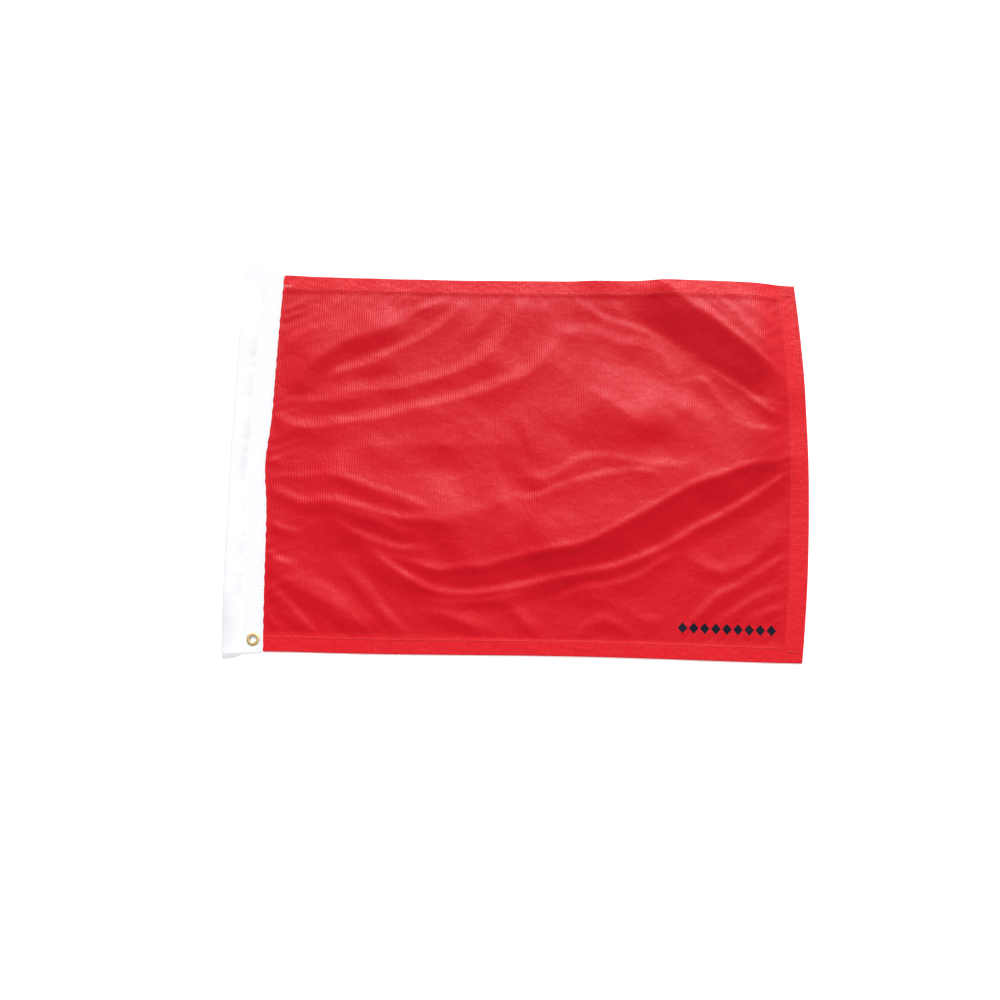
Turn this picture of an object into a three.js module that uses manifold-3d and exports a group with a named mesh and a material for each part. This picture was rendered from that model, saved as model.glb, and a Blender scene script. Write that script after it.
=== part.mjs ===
// Red signal flag with a white pole sleeve, lying flat.
// Millimetres, +Z up. X runs from the sleeve's fold (-X) to the fly (+X), and Y up the hoist.
// Origin: centre of the outline, on the surface that the flag lies on.

import * as THREE from "three";
import { mergeVertices } from "three/addons/utils/BufferGeometryUtils.js";
import Module from "manifold-3d";

const wasm = await Module();
wasm.setup();

// ---- Driving dimensions ----

// Field
const FIELD_LENGTH = 416.5; // seam to either fly corner
const FIELD_HEIGHT = 305;
const FLY_BOW = 8.5; // how far the middle of the fly edge stands out past its corners
const FLY_STEP = 13; // length of the straight pieces that make up the bow
const FIELD_PLY = 0.3;
const LONG_HEM_WIDTH = 12.7;
const FLY_HEM_WIDTH = 15;
const HEM_PLIES = 2; // plies turned under the cloth's own
const HEM_GAP = 0.3; // between a long hem's end and the fly hem
const SEAM_ALLOWANCE = 10; // depth of field sewn into the sleeve
const HINGE_GAP = 0.5; // from the sleeve's edge to the moving field

// Sleeve
const SLEEVE_WIDTH = 32;
const SLEEVE_PLY = 0.6;
const MARGIN_LIFT = 0.4; // margin's underside above the channel's
const CHANNEL_HEIGHT = 9; // outside, where it is open
const SHUT_GAP = 0.3; // between the plies where the top is sewn shut
const SHUT_LENGTH = 14; // the flattened top end
const TAPER_LENGTH = 42; // from flat to fully open
const FLARE_TOP = 6; // how much the fold runs on past the seam's top end
const FLARE_BOTTOM = 2.5;
const FOLD_REACH = 3.2; // how far the rounded fold reaches in from the edge
const FLOOR_STEP = 4; // over which the margin's lower ply comes down to the channel's floor
const STATION_BIAS = 1.7; // above 1, the stations along the sleeve crowd towards its tapering top
const MOUTH_HEM_DEPTH = 10;
const MOUTH_HEM_PLY = 0.5;
const MOUTH_HEM_CLEARANCE = 0.3;
const MOUTH_HEM_FROM_ROOT = 5.5; // the turned ply stops short of where the channel closes

// Stitching
const THREAD_WIDTH = 0.8;
const THREAD_HEIGHT = 0.3;
const THREAD_CLEARANCE = 0.1; // under a row that follows a curved ply
const ROW_END_INSET = 2;
const HEM_ROW_INSET = 1.5; // from a hem's inner edge
const FLY_ROW_INSET = 2; // from either edge of the fly hem
const SEAM_ROW_INSET = 1.4; // from the sleeve's edge
const INNER_ROW_INSET = 1.4; // from the channel
const SHUT_ROW_INSET = 9.5; // from the sleeve's top
const MOUTH_ROW_INSET = 8;
const TACK_WIDTH = 2.2;
const TACK_FROM_END = 8.5;
const TACK_CLEARANCE = 0.5; // from the two rows beside it

// Grommet
const BORE_DIAMETER = 4.8;
const BARREL_WALL = 0.4;
const FLANGE_DIAMETER = 10.4;
const FLANGE_HEIGHT = 0.6;
const GROMMET_CLEARANCE = 0.3; // cloth to barrel
const WASHER_CLEARANCE = 0.1; // washer to barrel
const FLANGE_ROW_GAP = 1; // from the flange to the stitch row on either side of it
const GROMMET_FROM_END = 9.3;
const FLARED_LIP = 0.35; // how far the barrel's end is spread in the washer

// ---- Derived places ----

// The margin is as wide as the grommet and the two rows beside it need.
const ROW_TO_GROMMET = THREAD_WIDTH / 2 + FLANGE_ROW_GAP + FLANGE_DIAMETER / 2;
const GROMMET_FROM_SEAM = SEAM_ROW_INSET + ROW_TO_GROMMET;
const MARGIN_WIDTH = GROMMET_FROM_SEAM + ROW_TO_GROMMET + INNER_ROW_INSET;
const OVERALL_LENGTH = SLEEVE_WIDTH + FIELD_LENGTH + FLY_BOW;
const FOLD_X = -OVERALL_LENGTH / 2;
const SEAM_X = FOLD_X + SLEEVE_WIDTH;
const MARGIN_X = SEAM_X - MARGIN_WIDTH;
const FIELD_X = SEAM_X + HINGE_GAP;
const CORNER_X = SEAM_X + FIELD_LENGTH;
const MID_Y = (FLARE_BOTTOM - FLARE_TOP) / 2;
const TOP_Y = MID_Y + FIELD_HEIGHT / 2;
const BOTTOM_Y = MID_Y - FIELD_HEIGHT / 2;
const MARGIN_Z = MARGIN_LIFT; // underside of the sleeve's margin
const FIELD_Z = MARGIN_Z + SLEEVE_PLY;
const FIELD_TOP_Z = FIELD_Z + FIELD_PLY;
const MARGIN_TOP_Z = FIELD_TOP_Z + SLEEVE_PLY;
const HEM_HEIGHT = Math.min(HEM_PLIES * FIELD_PLY, FIELD_Z);
const BARREL_RADIUS = BORE_DIAMETER / 2 + BARREL_WALL;
const GROMMET_X = SEAM_X - GROMMET_FROM_SEAM;
const GROMMET_Y = BOTTOM_Y + GROMMET_FROM_END;
const SHUT_HEIGHT = 2 * SLEEVE_PLY + SHUT_GAP;
const SHUT_ROW_Y = TOP_Y - SHUT_ROW_INSET;
const SECTION_CELLS = [1, 4, 2, 6, 6, 14, 1]; // divisions of each stretch of the sleeve's section
const ALL_CELLS = SECTION_CELLS.reduce((sum, count) => sum + count);
const FOLD_CELL = SECTION_CELLS.slice(0, 4).reduce((sum, count) => sum + count);

// ---- Finishes ----

const finish = (color, roughness, metalness = 0) => ({ color, roughness, metalness });
const RED_CLOTH = finish(0xd8323a, 0.6);
const RED_HEM = finish(0xe23a40, 0.6);
const RED_THREAD = finish(0xe03038, 0.5);
const WHITE_CANVAS = finish(0xf6f6f8, 0.85);
const WHITE_THREAD = finish(0xfafafa, 0.6);
const BRASS = finish(0xc9a55c, 0.3, 1);

const flag = new THREE.Group();

function add(name, geometry, look) {
  const mesh = new THREE.Mesh(geometry, new THREE.MeshStandardMaterial(look));
  mesh.name = name;
  flag.add(mesh);
}

// ---- Solids and cuts ----

function toSolid(geometry) {
  const bare = new THREE.BufferGeometry();
  bare.setAttribute("position", geometry.getAttribute("position"));
  bare.setIndex(geometry.getIndex());
  const merged = mergeVertices(bare, 1e-3);
  return new wasm.Manifold(new wasm.Mesh({
    numProp: 3,
    vertProperties: new Float32Array(merged.getAttribute("position").array),
    triVerts: new Uint32Array(merged.getIndex().array),
  }));
}

function cut(geometry, tool) {
  const mesh = toSolid(geometry).subtract(toSolid(tool)).getMesh();
  const result = new THREE.BufferGeometry();
  result.setAttribute("position", new THREE.BufferAttribute(mesh.vertProperties, 3));
  result.setIndex(new THREE.BufferAttribute(mesh.triVerts, 1));
  result.computeVertexNormals();
  return result;
}

// A box from its lowest and highest corners.
function block(low, high) {
  const size = high.map((value, axis) => value - low[axis]);
  const middle = high.map((value, axis) => (value + low[axis]) / 2);
  return new THREE.BoxGeometry(...size).translate(...middle);
}

// A flat plate of the given outline in X and Y, from z upwards.
function plate(outline, z, height) {
  const shape = new THREE.Shape(outline);
  return new THREE.ExtrudeGeometry(shape, { depth: height, bevelEnabled: false }).translate(0, 0, z);
}

// A ring about a Z axis through the grommet, from its profile of [radius, z] points.
function ring(profile) {
  const points = [...profile, profile[0]].map(([radius, z]) => new THREE.Vector2(radius, z));
  return new THREE.LatheGeometry(points, 36).rotateX(Math.PI / 2).translate(GROMMET_X, GROMMET_Y, 0);
}

// ---- White sleeve: a strip folded round a section that changes along the hoist ----

const clamp01 = (t) => Math.min(Math.max(t, 0), 1);
const smooth = (t) => t * t * (3 - 2 * t);

// Outside height of the channel at y: open at the mouth, tapering to the sewn-shut top.
function channelHeight(y) {
  const open = smooth(clamp01((TOP_Y - SHUT_LENGTH - y) / TAPER_LENGTH));
  return SHUT_HEIGHT + (CHANNEL_HEIGHT - SHUT_HEIGHT) * open;
}

// Middle line of the strip in X and Z: in along the margin's lower ply, down to the channel's floor,
// round the fold, over the channel and out along the margin's upper ply.
function sleeveSection(height) {
  const half = SLEEVE_PLY / 2;
  const innerX = FOLD_X + FOLD_REACH;
  const floorX = MARGIN_X - FLOOR_STEP;
  const [lowZ, highZ] = [MARGIN_Z + half, MARGIN_TOP_Z - half];
  const [floorZ, roofZ] = [half, height - half];
  const midZ = (floorZ + roofZ) / 2;
  const bulge = (roofZ - floorZ) * 0.28;
  const foldX = FOLD_X + half;
  const roofEase = (MARGIN_X - innerX) * 0.72;
  const rootEase = (MARGIN_X - innerX) * 0.12;
  return new THREE.Path()
    .moveTo(SEAM_X, lowZ)
    .lineTo(MARGIN_X, lowZ)
    .bezierCurveTo(MARGIN_X - FLOOR_STEP / 2, lowZ, floorX + FLOOR_STEP / 2, floorZ, floorX, floorZ)
    .lineTo(innerX, floorZ)
    .bezierCurveTo(foldX + 1, floorZ, foldX, midZ - bulge, foldX, midZ)
    .bezierCurveTo(foldX, midZ + bulge, foldX + 1, roofZ, innerX, roofZ)
    .bezierCurveTo(innerX + roofEase, roofZ, MARGIN_X - rootEase, highZ, MARGIN_X, highZ)
    .lineTo(SEAM_X, highZ);
}

// The strip's ends lean outwards from the seam to the fold, so y is carried out with them.
function flared(x, y) {
  const reach = clamp01((SEAM_X - x) / SLEEVE_WIDTH);
  const flare = y > MID_Y ? FLARE_TOP : FLARE_BOTTOM;
  return y + flare * reach * ((y - MID_Y) / (FIELD_HEIGHT / 2));
}

// Point and direction on a section, `cell` counting the cells that its stretches are divided into.
function onSection(section, cell) {
  let stretch = 0;
  while (stretch < SECTION_CELLS.length - 1 && cell > SECTION_CELLS[stretch]) {
    cell -= SECTION_CELLS[stretch++];
  }
  const curve = section.curves[stretch];
  const t = cell / SECTION_CELLS[stretch];
  return [curve.getPoint(t), curve.getTangent(t)];
}

// Cell at which the section's lower or upper ply passes x.
function cellAt(x, height, upper) {
  const section = sleeveSection(height);
  let [seam, fold] = [upper ? ALL_CELLS : 0, FOLD_CELL];
  for (let step = 0; step < 24; step++) {
    const middle = (seam + fold) / 2;
    if (onSection(section, middle)[0].x > x) seam = middle;
    else fold = middle;
  }
  return (seam + fold) / 2;
}

// Folds a strip round the section. `cells` is its stretch of the section, `offsets` its two
// faces, inner then outer, from the middle line, and `span` its lowest and highest y.
function foldedStrip(cells, offsets, span, across, along) {
  const strip = new THREE.BoxGeometry(1, 1, 1, across, 1, along);
  const position = strip.getAttribute("position");
  for (let i = 0; i < position.count; i++) {
    const up = 1 - Math.pow(position.getZ(i) + 0.5, STATION_BIAS); // stations crowd towards the top
    const y = span[0] + (span[1] - span[0]) * up;
    const section = sleeveSection(channelHeight(y));
    const cell = cells[0] + (cells[1] - cells[0]) * (position.getX(i) + 0.5);
    const offset = position.getY(i) > 0 ? offsets[1] : offsets[0];
    const [point, tangent] = onSection(section, cell);
    const x = point.x - tangent.y * offset;
    position.setXYZ(i, x, flared(x, y), point.y + tangent.x * offset);
  }
  return strip;
}

function grommetHole() {
  const radius = BARREL_RADIUS + GROMMET_CLEARANCE;
  return new THREE.CylinderGeometry(radius, radius, 4 * MARGIN_TOP_Z, 28)
    .rotateX(Math.PI / 2).translate(GROMMET_X, GROMMET_Y, 0);
}

function addSleeve() {
  const half = SLEEVE_PLY / 2;
  const body = foldedStrip([0, ALL_CELLS], [-half, half], [BOTTOM_Y, TOP_Y], ALL_CELLS, 16);
  add("sleeve", cut(body, grommetHole()), WHITE_CANVAS);

  const allowance = block([SEAM_X - SEAM_ALLOWANCE, BOTTOM_Y, FIELD_Z], [SEAM_X, TOP_Y, FIELD_TOP_Z]);
  add("field_seam_allowance", cut(allowance, grommetHole()), RED_CLOTH);

  const outer = -half - MOUTH_HEM_CLEARANCE;
  const rootX = MARGIN_X - MOUTH_HEM_FROM_ROOT;
  const cells = [cellAt(rootX, CHANNEL_HEIGHT, false), cellAt(rootX, CHANNEL_HEIGHT, true)];
  const depth = [BOTTOM_Y, BOTTOM_Y + MOUTH_HEM_DEPTH];
  add("sleeve_mouth_hem", foldedStrip(cells, [outer - MOUTH_HEM_PLY, outer], depth, 24, 1), WHITE_CANVAS);
}

// A stitch row on the margin, along the hoist.
function marginRow(name, x) {
  const half = THREAD_WIDTH / 2;
  const high = SHUT_ROW_Y - THREAD_WIDTH - ROW_END_INSET;
  add(name, block(
    [x - half, BOTTOM_Y + ROW_END_INSET, MARGIN_TOP_Z],
    [x + half, high, MARGIN_TOP_Z + THREAD_HEIGHT],
  ), WHITE_THREAD);
}

// A stitch row across the upper ply, from the fold to endX.
function crossRow(name, y, endX) {
  const height = channelHeight(y);
  const cells = [cellAt(FOLD_X + ROW_END_INSET, height, true), cellAt(endX, height, true)];
  const inner = SLEEVE_PLY / 2 + THREAD_CLEARANCE;
  const span = [y - THREAD_WIDTH / 2, y + THREAD_WIDTH / 2];
  add(name, foldedStrip(cells, [inner, inner + THREAD_HEIGHT], span, 16, 1), WHITE_THREAD);
}

function addSleeveThreads() {
  marginRow("seam_thread_outer", SEAM_X - SEAM_ROW_INSET);
  marginRow("seam_thread_inner", MARGIN_X + INNER_ROW_INSET);
  crossRow("sleeve_top_thread", SHUT_ROW_Y, SEAM_X - SEAM_ROW_INSET);
  crossRow("sleeve_mouth_thread", BOTTOM_Y + MOUTH_ROW_INSET, MARGIN_X - ROW_END_INSET);
}

// ---- Brass grommet ----

function addGrommet() {
  const bore = BORE_DIAMETER / 2;
  const rim = FLANGE_DIAMETER / 2;
  const flangeTop = MARGIN_TOP_Z + FLANGE_HEIGHT;
  const softEdge = FLANGE_HEIGHT / 2;
  add("grommet", ring([
    [bore + FLARED_LIP, 0],
    [BARREL_RADIUS + FLARED_LIP, 0],
    [BARREL_RADIUS, MARGIN_Z],
    [BARREL_RADIUS, MARGIN_TOP_Z],
    [rim, MARGIN_TOP_Z],
    [rim, flangeTop - softEdge],
    [rim - softEdge, flangeTop],
    [BARREL_RADIUS + softEdge, flangeTop],
    [bore, flangeTop - softEdge],
    [bore, MARGIN_Z],
  ]), BRASS);
  add("grommet_washer", ring([
    [BARREL_RADIUS + FLARED_LIP + WASHER_CLEARANCE, 0],
    [rim - MARGIN_Z / 2, 0],
    [rim, MARGIN_Z / 2],
    [rim, MARGIN_Z],
    [BARREL_RADIUS + WASHER_CLEARANCE, MARGIN_Z],
  ]), BRASS);
}

// ---- Red field ----

// X of the bowed fly edge at y.
function flyX(y) {
  const t = (y - MID_Y) / (FIELD_HEIGHT / 2);
  return CORNER_X + FLY_BOW * (1 - t * t);
}

// Points that follow the fly edge from y0 to y1, `inset` inside it.
function flyLine(y0, y1, inset) {
  const steps = Math.ceil(Math.abs(y1 - y0) / FLY_STEP);
  return Array.from({ length: steps + 1 }, (_, i) => {
    const y = y0 + ((y1 - y0) * i) / steps;
    return new THREE.Vector2(flyX(y) - inset, y);
  });
}

// A plate that follows the fly edge, between two insets.
function flyBand(y0, y1, outerInset, innerInset, z, height) {
  return plate([...flyLine(y0, y1, outerInset), ...flyLine(y1, y0, innerInset)], z, height);
}

// The long hem that lies between y0 and y1, as far as the fly hem.
function longHem(y0, y1) {
  const fly = flyLine(y0, y1, FLY_HEM_WIDTH + HEM_GAP);
  return plate([
    new THREE.Vector2(FIELD_X, y0), ...fly, new THREE.Vector2(FIELD_X, y1),
  ], FIELD_Z - HEM_HEIGHT, HEM_HEIGHT);
}

function addField() {
  add("field_panel", plate([
    new THREE.Vector2(FIELD_X, TOP_Y),
    new THREE.Vector2(FIELD_X, BOTTOM_Y),
    ...flyLine(BOTTOM_Y, TOP_Y, 0),
  ], FIELD_Z, FIELD_PLY), RED_CLOTH);
  add("top_hem", longHem(TOP_Y - LONG_HEM_WIDTH, TOP_Y), RED_HEM);
  add("bottom_hem", longHem(BOTTOM_Y, BOTTOM_Y + LONG_HEM_WIDTH), RED_HEM);
  add("fly_hem", flyBand(BOTTOM_Y, TOP_Y, 0, FLY_HEM_WIDTH, FIELD_Z - HEM_HEIGHT, HEM_HEIGHT), RED_HEM);
}

function addFieldThreads() {
  const half = THREAD_WIDTH / 2;
  const rowInset = LONG_HEM_WIDTH - HEM_ROW_INSET;
  for (const [name, y] of [["top_hem_thread", TOP_Y - rowInset], ["bottom_hem_thread", BOTTOM_Y + rowInset]]) {
    const endX = flyX(y) - FLY_HEM_WIDTH;
    add(name, block(
      [FIELD_X + ROW_END_INSET, y - half, FIELD_TOP_Z],
      [endX, y + half, FIELD_TOP_Z + THREAD_HEIGHT],
    ), RED_THREAD);
  }
  const [low, high] = [BOTTOM_Y + ROW_END_INSET, TOP_Y - ROW_END_INSET];
  for (const [name, inset] of [
    ["fly_hem_thread_inner", FLY_HEM_WIDTH - FLY_ROW_INSET],
    ["fly_hem_thread_outer", FLY_ROW_INSET],
  ]) {
    add(name, flyBand(low, high, inset - half, inset + half, FIELD_TOP_Z, THREAD_HEIGHT), RED_THREAD);
  }
}

// Dense stitching across the fly hem, between its two rows, near each corner.
function addBarTacks() {
  const clear = FLY_ROW_INSET + THREAD_WIDTH / 2 + TACK_CLEARANCE;
  for (const [name, y] of [["top_bar_tack", TOP_Y - TACK_FROM_END], ["bottom_bar_tack", BOTTOM_Y + TACK_FROM_END]]) {
    const [y0, y1] = [y - TACK_WIDTH / 2, y + TACK_WIDTH / 2];
    add(name, flyBand(y0, y1, clear, FLY_HEM_WIDTH - clear, FIELD_TOP_Z, THREAD_HEIGHT), RED_THREAD);
  }
}

addSleeve();
addSleeveThreads();
addGrommet();
addField();
addFieldThreads();
addBarTacks();

export default flag;
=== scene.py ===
"""Red signal flag with a white pole sleeve, laid flat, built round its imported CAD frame."""

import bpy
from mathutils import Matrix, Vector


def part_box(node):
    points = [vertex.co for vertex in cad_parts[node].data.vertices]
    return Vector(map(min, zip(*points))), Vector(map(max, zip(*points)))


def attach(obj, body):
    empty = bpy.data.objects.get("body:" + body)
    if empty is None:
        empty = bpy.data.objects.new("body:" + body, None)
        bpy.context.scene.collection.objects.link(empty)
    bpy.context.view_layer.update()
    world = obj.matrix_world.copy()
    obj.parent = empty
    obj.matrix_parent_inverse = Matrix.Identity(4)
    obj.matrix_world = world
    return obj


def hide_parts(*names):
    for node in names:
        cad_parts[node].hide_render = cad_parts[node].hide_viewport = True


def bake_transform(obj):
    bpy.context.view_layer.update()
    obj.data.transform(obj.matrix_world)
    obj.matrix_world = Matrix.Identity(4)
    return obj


bl_info = {
    "name": "Laid Signal Flag",
    "version": (1, 0, 0),
    "blender": (4, 5, 0),
    "location": "View3D > Sidebar > Signal Flag",
    "description": "Red nylon flag with folds, hems and stitching, a white pole sleeve and a brass grommet",
    "category": "Object",
}

import math

import bpy
import numpy as np
from bpy.props import FloatProperty, FloatVectorProperty, PointerProperty
from mathutils import Vector

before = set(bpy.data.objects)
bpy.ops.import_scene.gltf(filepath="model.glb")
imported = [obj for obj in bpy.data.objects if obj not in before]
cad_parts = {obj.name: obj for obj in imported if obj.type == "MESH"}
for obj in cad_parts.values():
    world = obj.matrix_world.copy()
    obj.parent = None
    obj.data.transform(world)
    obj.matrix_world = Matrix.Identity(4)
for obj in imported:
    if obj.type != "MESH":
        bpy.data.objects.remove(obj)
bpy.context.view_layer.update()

MM = 0.001

# ---- Places taken from the frame ----

PANEL_LOW, PANEL_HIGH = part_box("field_panel")
SLEEVE_LOW, SLEEVE_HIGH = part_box("sleeve")
TOP_HEM_LOW, TOP_HEM_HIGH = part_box("top_hem")
GROMMET_LOW, GROMMET_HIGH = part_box("grommet")
WASHER_LOW, WASHER_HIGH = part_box("grommet_washer")

FOLD_X = SLEEVE_LOW.x
SEAM_X = SLEEVE_HIGH.x
FLY_X = PANEL_HIGH.x
ALLOWANCE_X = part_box("field_seam_allowance")[0].x
HINGE_GAP = PANEL_LOW.x - SEAM_X
TOP_Y = PANEL_HIGH.y
BOTTOM_Y = PANEL_LOW.y
MID_Y = (TOP_Y + BOTTOM_Y) / 2
HALF_HEIGHT = (TOP_Y - BOTTOM_Y) / 2
SLEEVE_WIDTH = SEAM_X - FOLD_X
CLOTH_Z = (PANEL_LOW.z + PANEL_HIGH.z) / 2
PLY = PANEL_HIGH.z - PANEL_LOW.z
LONG_HEM = TOP_HEM_HIGH.y - TOP_HEM_LOW.y
MARGIN_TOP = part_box("seam_thread_outer")[0].z
MARGIN_BOTTOM = 0.4 * MM  # the two sewn plies lie this far off the floor
CHANNEL_TOP = SLEEVE_HIGH.z
GROMMET = (GROMMET_LOW + GROMMET_HIGH) / 2
FLANGE_RADIUS = (GROMMET_HIGH.x - GROMMET_LOW.x) / 2
GROMMET_HOLE = (GROMMET, 0.7 * FLANGE_RADIUS)  # in the cloth, hidden under the flange


def linear(code):
    """An sRGB hex colour as linear red, green and blue."""
    parts = [int(code[i:i + 2], 16) / 255 for i in (0, 2, 4)]
    return tuple(c / 12.92 if c <= 0.04045 else ((c + 0.055) / 1.055) ** 2.4 for c in parts)


def length(name, description, default):
    return FloatProperty(name=name, description=description, default=default,
                         subtype="DISTANCE", unit="LENGTH", precision=5)


def colour(name, description, code):
    return FloatVectorProperty(name=name, description=description, default=linear(code),
                               subtype="COLOR", size=3, min=0, max=1)


# ---- Settings ----


class FieldSettings(bpy.types.PropertyGroup):
    cloth: colour("Cloth", "Dye of the single nylon ply", "d0081d")
    hem: colour("Hem", "Dye where the hem makes three plies", "de1a26")
    thread: colour("Thread", "Dye of the hem thread", "e42430")
    print: colour("Print", "Ink of the row of lozenges near the fly's lower corner", "0a0e22")
    fly_bow: length("Fly bow", "How far the middle of the fly stands out past its corners", 8.5 * MM)
    fly_hem: length("Fly hem", "Width of the hem along the fly", 15 * MM)
    cell: length("Mesh cell", "Size of a cell of the cloth's mesh", 1.72 * MM)
    rib: length("Rib pitch", "Distance between the ribs that show in the weave", 1.9 * MM)
    stitch: length("Stitch", "Length of a stitch and its gap", 2.6 * MM)
    folds: FloatProperty(name="Folds", description="Height of the folds, as a share of their full height",
                         default=1.0, min=0, max=2)


class SleeveSettings(bpy.types.PropertyGroup):
    canvas: colour("Canvas", "Bleached canvas of the sleeve", "edeef1")
    thread: colour("Thread", "Sewing thread of the sleeve", "f4f4f4")
    brass: colour("Brass", "Bright stamped brass of the grommet", "f4dba8")
    margin: length("Margin", "Width of the two plies sewn to the field", 16 * MM)
    ply: length("Ply", "Thickness of the canvas", 0.6 * MM)
    shut: length("Shut top", "Length of the top that is sewn flat", 14 * MM)
    taper: length("Taper", "Length over which the channel opens", 42 * MM)
    flare_top: length("Top flare", "How far the fold runs on past the seam's top end", 10 * MM)
    flare_bottom: length("Bottom flare", "How far the fold runs on past the seam's bottom end", 2.5 * MM)
    droop: length("Droop", "How far the mouth of the channel has sunk", 3.8 * MM)
    stitch: length("Stitch", "Length of a stitch and its gap", 2.8 * MM)


class StudioSettings(bpy.types.PropertyGroup):
    azimuth: FloatProperty(name="Azimuth", description="Camera's turn round the flag",
                           default=math.radians(1.28), subtype="ANGLE", unit="ROTATION")
    elevation: FloatProperty(name="Elevation", description="Camera's height above the horizon",
                             default=math.radians(81.0), subtype="ANGLE", unit="ROTATION")
    distance: length("Distance", "From the camera to the point it looks at", 0.816)
    lens: FloatProperty(name="Lens", description="Focal length in millimetres on a 36 mm sensor",
                        default=37.1)
    aim_x: length("Aim X", "X of the point on the floor that the camera looks at", -16 * MM)
    aim_y: length("Aim Y", "Y of the point on the floor that the camera looks at", -31.5 * MM)
    key: FloatProperty(name="Key light", description="Strength of the soft key light", default=4.5)
    sky: FloatProperty(name="Sky", description="Strength of the white light from all round", default=1.0)


# ---- How the flag lies ----

# Folds of the laid cloth, in millimetres. Each has the line of its crest from left to right, its
# height, and how far it slopes down on the side above the line and on the side below it.
# The long fold's crest, from the middle of the flag up towards the fly, is shared by three of them.
LONG_CREST = [(0, -76), (25, -70), (50, -65), (75, -52), (100, -38), (120, -26), (140, -15), (160, -8)]
SWEEPS = [  # broad folds, which lift the hems a little where they meet them
    # Down from the top hem to the fly's middle
    ([(92, 166), (120, 143), (150, 121), (176, 102), (200, 82), (214, 64), (232, 40)], 8.2, 170, 33),
    ([(30, 152), (70, 150), (116, 144)], 2.6, 40, 32),
    # Up from the middle to the fly, with the deep hollow under it
    ([(-92, -80), (-65, -88), (-45, -86), (-25, -84), *LONG_CREST, (175, -1), (192, 4), (245, 12)],
     2, 50, 20),
    ([*LONG_CREST, (175, -1), (192, 4), (245, 12)], 4.2, 200, 34),
    # The smooth panels that tilt up to the light
    ([(40, 64), (55, 58), (70, 49), (92, 33), (114, 16)], 3.2, 34, 36),
    ([(104, 16), (122, 34), (142, 60)], 2.5, 30, 36),
    ([(-172, -6), (-125, -22), (-95, -36), (-66, -50), (-44, -56)], 3.4, 40, 60),
    ([(-76, -58), (-45, -46), (-12, -33), (8, -20)], 3.4, 42, 58),
    ([(-142, 8), (-90, 12), (-45, 12), (8, 14)], 1.6, 34, 20),
    # Upper left
    ([(-200, 44), (-182, 62), (-166, 80), (-142, 97), (-108, 108), (-84, 122)], 3, 36, 14),
]
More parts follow.
